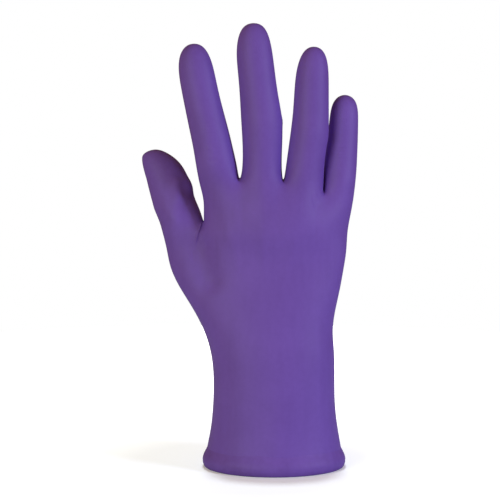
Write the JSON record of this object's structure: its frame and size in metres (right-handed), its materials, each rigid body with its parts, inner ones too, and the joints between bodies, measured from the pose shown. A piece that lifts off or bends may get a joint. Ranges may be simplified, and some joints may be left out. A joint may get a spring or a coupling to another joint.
{
  "type": "disposable glove",
  "caption": "Thin purple nitrile glove for the right hand, standing on its rolled cuff with spread fingers that bend at their creases.",
  "frame": {"origin": "centre of the glove's outline on the surface that its rolled cuff stands on", "axes": "+Z from the cuff to the fingertips, +Y to the palm side, thumb at -X"},
  "size_m": [0.1184, 0.0588, 0.242],
  "materials": {
    "film": "thin satin nitrile film, violet purple, finely textured",
    "bead": "rolled satin nitrile bead, violet purple"
  },
  "bodies": {
    "cuff": {"cuff_bead": "bead", "cuff": "film"},
    "hand": {"palm": "film"},
    "index_finger_base": {"index_finger_base": "film"},
    "index_finger_middle": {"index_finger_middle": "film"},
    "index_finger_tip": {"index_finger_tip": "film"},
    "middle_finger_base": {"middle_finger_base": "film"},
    "middle_finger_middle": {"middle_finger_middle": "film"},
    "middle_finger_tip": {"middle_finger_tip": "film"},
    "ring_finger_base": {"ring_finger_base": "film"},
    "ring_finger_middle": {"ring_finger_middle": "film"},
    "ring_finger_tip": {"ring_finger_tip": "film"},
    "little_finger_base": {"little_finger_base": "film"},
    "little_finger_middle": {"little_finger_middle": "film"},
    "little_finger_tip": {"little_finger_tip": "film"},
    "thumb_base": {"thumb_base": "film"},
    "thumb_tip": {"thumb_tip": "film"}
  },
  "joints": [
    {"name": "wrist_flex", "type": "hinge", "parent": "cuff", "child": "hand", "pos_m": [0.01063, 0.02237, 0.075], "axis": [-1, 0, 0], "range_deg": [0, 60], "stiffness_Nm_per_rad": 0.05},
    {"name": "index_knuckle", "type": "hinge", "parent": "hand", "child": "index_finger_base", "pos_m": [-0.01665, 0.00866, 0.1615], "axis": [-1, 0, 0], "range_deg": [0, 85], "stiffness_Nm_per_rad": 0.004},
    {"name": "index_middle_joint", "type": "hinge", "parent": "index_finger_base", "child": "index_finger_middle", "pos_m": [-0.02197, 0.00875, 0.186], "axis": [-1, 0, 0], "range_deg": [0, 90], "stiffness_Nm_per_rad": 0.002},
    {"name": "index_end_joint", "type": "hinge", "parent": "index_finger_middle", "child": "index_finger_tip", "pos_m": [-0.02712, 0.00885, 0.209], "axis": [-1, 0, 0], "range_deg": [0, 60], "stiffness_Nm_per_rad": 0.001},
    {"name": "middle_knuckle", "type": "hinge", "parent": "hand", "child": "middle_finger_base", "pos_m": [0.00705, 0.00939, 0.1615], "axis": [-1, 0, 0], "range_deg": [0, 85], "stiffness_Nm_per_rad": 0.004},
    {"name": "middle_middle_joint", "type": "hinge", "parent": "middle_finger_base", "child": "middle_finger_middle", "pos_m": [0.00675, 0.0081, 0.19], "axis": [-1, 0, 0], "range_deg": [0, 90], "stiffness_Nm_per_rad": 0.002},
    {"name": "middle_end_joint", "type": "hinge", "parent": "middle_finger_middle", "child": "middle_finger_tip", "pos_m": [0.00408, 0.00809, 0.215], "axis": [-1, 0, 0], "range_deg": [0, 60], "stiffness_Nm_per_rad": 0.001},
    {"name": "ring_knuckle", "type": "hinge", "parent": "hand", "child": "ring_finger_base", "pos_m": [0.03, 0.00934, 0.1615], "axis": [-1, 0, 0], "range_deg": [0, 80], "stiffness_Nm_per_rad": 0.004},
    {"name": "ring_middle_joint", "type": "hinge", "parent": "ring_finger_base", "child": "ring_finger_middle", "pos_m": [0.03273, 0.00813, 0.1845], "axis": [-1, 0, 0], "range_deg": [0, 90], "stiffness_Nm_per_rad": 0.002},
    {"name": "ring_end_joint", "type": "hinge", "parent": "ring_finger_middle", "child": "ring_finger_tip", "pos_m": [0.03366, 0.00805, 0.207], "axis": [-1, 0, 0], "range_deg": [0, 60], "stiffness_Nm_per_rad": 0.001},
    {"name": "little_knuckle", "type": "hinge", "parent": "hand", "child": "little_finger_base", "pos_m": [0.0488, 0.01209, 0.154], "axis": [-1, 0, 0], "range_deg": [0, 95], "stiffness_Nm_per_rad": 0.004},
    {"name": "little_middle_joint", "type": "hinge", "parent": "little_finger_base", "child": "little_finger_middle", "pos_m": [0.05021, 0.01534, 0.172], "axis": [-1, 0, 0], "range_deg": [0, 90], "stiffness_Nm_per_rad": 0.002},
    {"name": "little_end_joint", "type": "hinge", "parent": "little_finger_middle", "child": "little_finger_tip", "pos_m": [0.0514, 0.01574, 0.188], "axis": [-1, 0, 0], "range_deg": [0, 60], "stiffness_Nm_per_rad": 0.001},
    {"name": "thumb_root_joint", "type": "hinge", "parent": "hand", "child": "thumb_base", "pos_m": [-0.03443, 0.01926, 0.12542], "axis": [0.593, -0.1528, 0.7906], "range_deg": [-45, 0], "stiffness_Nm_per_rad": 0.004},
    {"name": "thumb_end_joint", "type": "hinge", "parent": "thumb_base", "child": "thumb_tip", "pos_m": [-0.03846, 0.02409, 0.14443], "axis": [0.8969, -0.2312, 0.377], "range_deg": [-65, 0], "stiffness_Nm_per_rad": 0.002}
  ],
  "couplings": [
    {"joint": "index_end_joint", "follows": "index_middle_joint", "ratio": 0.6666},
    {"joint": "middle_end_joint", "follows": "middle_middle_joint", "ratio": 0.6666},
    {"joint": "ring_end_joint", "follows": "ring_middle_joint", "ratio": 0.6666},
    {"joint": "little_end_joint", "follows": "little_middle_joint", "ratio": 0.6666}
  ]
}
